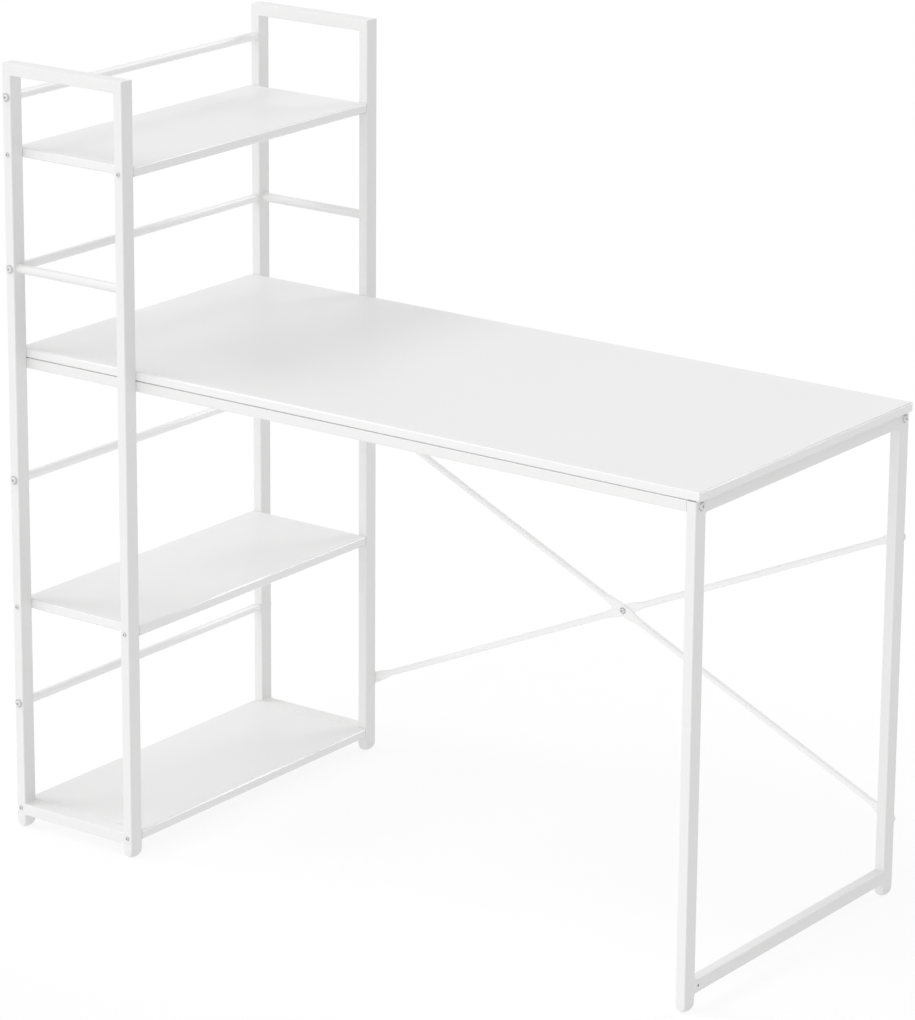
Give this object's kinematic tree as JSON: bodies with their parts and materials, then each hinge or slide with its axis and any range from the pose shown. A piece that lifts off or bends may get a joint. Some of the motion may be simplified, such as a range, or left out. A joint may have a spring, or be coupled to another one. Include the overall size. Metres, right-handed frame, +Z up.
{
  "type": "desk with shelves",
  "caption": "Writing desk whose board runs through a tall open shelf rack at its left end and over a tube leg frame at its right, with a crossed rod brace at the back",
  "frame": {"origin": "on the floor, under the middle of the box round the whole desk", "axes": "+X runs from the shelf rack to the leg frame, +Y from the front to the brace at the back, +Z up"},
  "size_m": [1.22, 0.6226, 1.2],
  "materials": {
    "white_frame": "white powder coat, satin",
    "white_board": "white melamine, smooth",
    "white_plastic": "matte white",
    "white_fasteners": "white lacquer",
    "zinc_steel": "zinc plated"
  },
  "bodies": {
    "root": {"bottom_shelf": "white_board", "brace_centre_bolt": "white_fasteners", "brace_centre_nut": "zinc_steel", "brace_end_bolts": "white_fasteners", "brace_falling_rod": "white_frame", "brace_rising_rod": "white_frame", "brace_rivet_nuts": "zinc_steel", "desk_back_rail": "white_frame", "desk_back_rail_end_cap": "white_plastic", "desk_front_rail": "white_frame", "desk_front_rail_end_cap": "white_plastic", "desk_rail_bolts": "zinc_steel", "desk_rail_plugs": "zinc_steel", "desk_rail_rivet_nuts": "zinc_steel", "desk_top": "white_board", "desk_top_screws": "zinc_steel", "left_rail_bolts": "white_fasteners", "left_rail_lower": "white_frame", "left_rail_middle": "white_frame", "left_rail_plugs": "zinc_steel", "left_rail_top": "white_frame", "left_rail_upper": "white_frame", "leg_back": "white_frame", "leg_back_foot": "white_plastic", "leg_bolts": "white_fasteners", "leg_bottom_rail": "white_frame", "leg_front": "white_frame", "leg_front_foot": "white_plastic", "leg_top_rail": "white_frame", "middle_shelf": "white_board", "rack_back_bottom_bar": "white_frame", "rack_back_left_foot": "white_plastic", "rack_back_left_post": "white_frame", "rack_back_right_foot": "white_plastic", "rack_back_right_post": "white_frame", "rack_back_side_rod": "white_frame", "rack_back_top_bar": "white_frame", "rack_front_bottom_bar": "white_frame", "rack_front_left_foot": "white_plastic", "rack_front_left_post": "white_frame", "rack_front_right_foot": "white_plastic", "rack_front_right_post": "white_frame", "rack_front_side_rod": "white_frame", "rack_front_top_bar": "white_frame", "shelf_screws": "white_fasteners", "top_shelf": "white_board"}
  },
  "joints": []
}
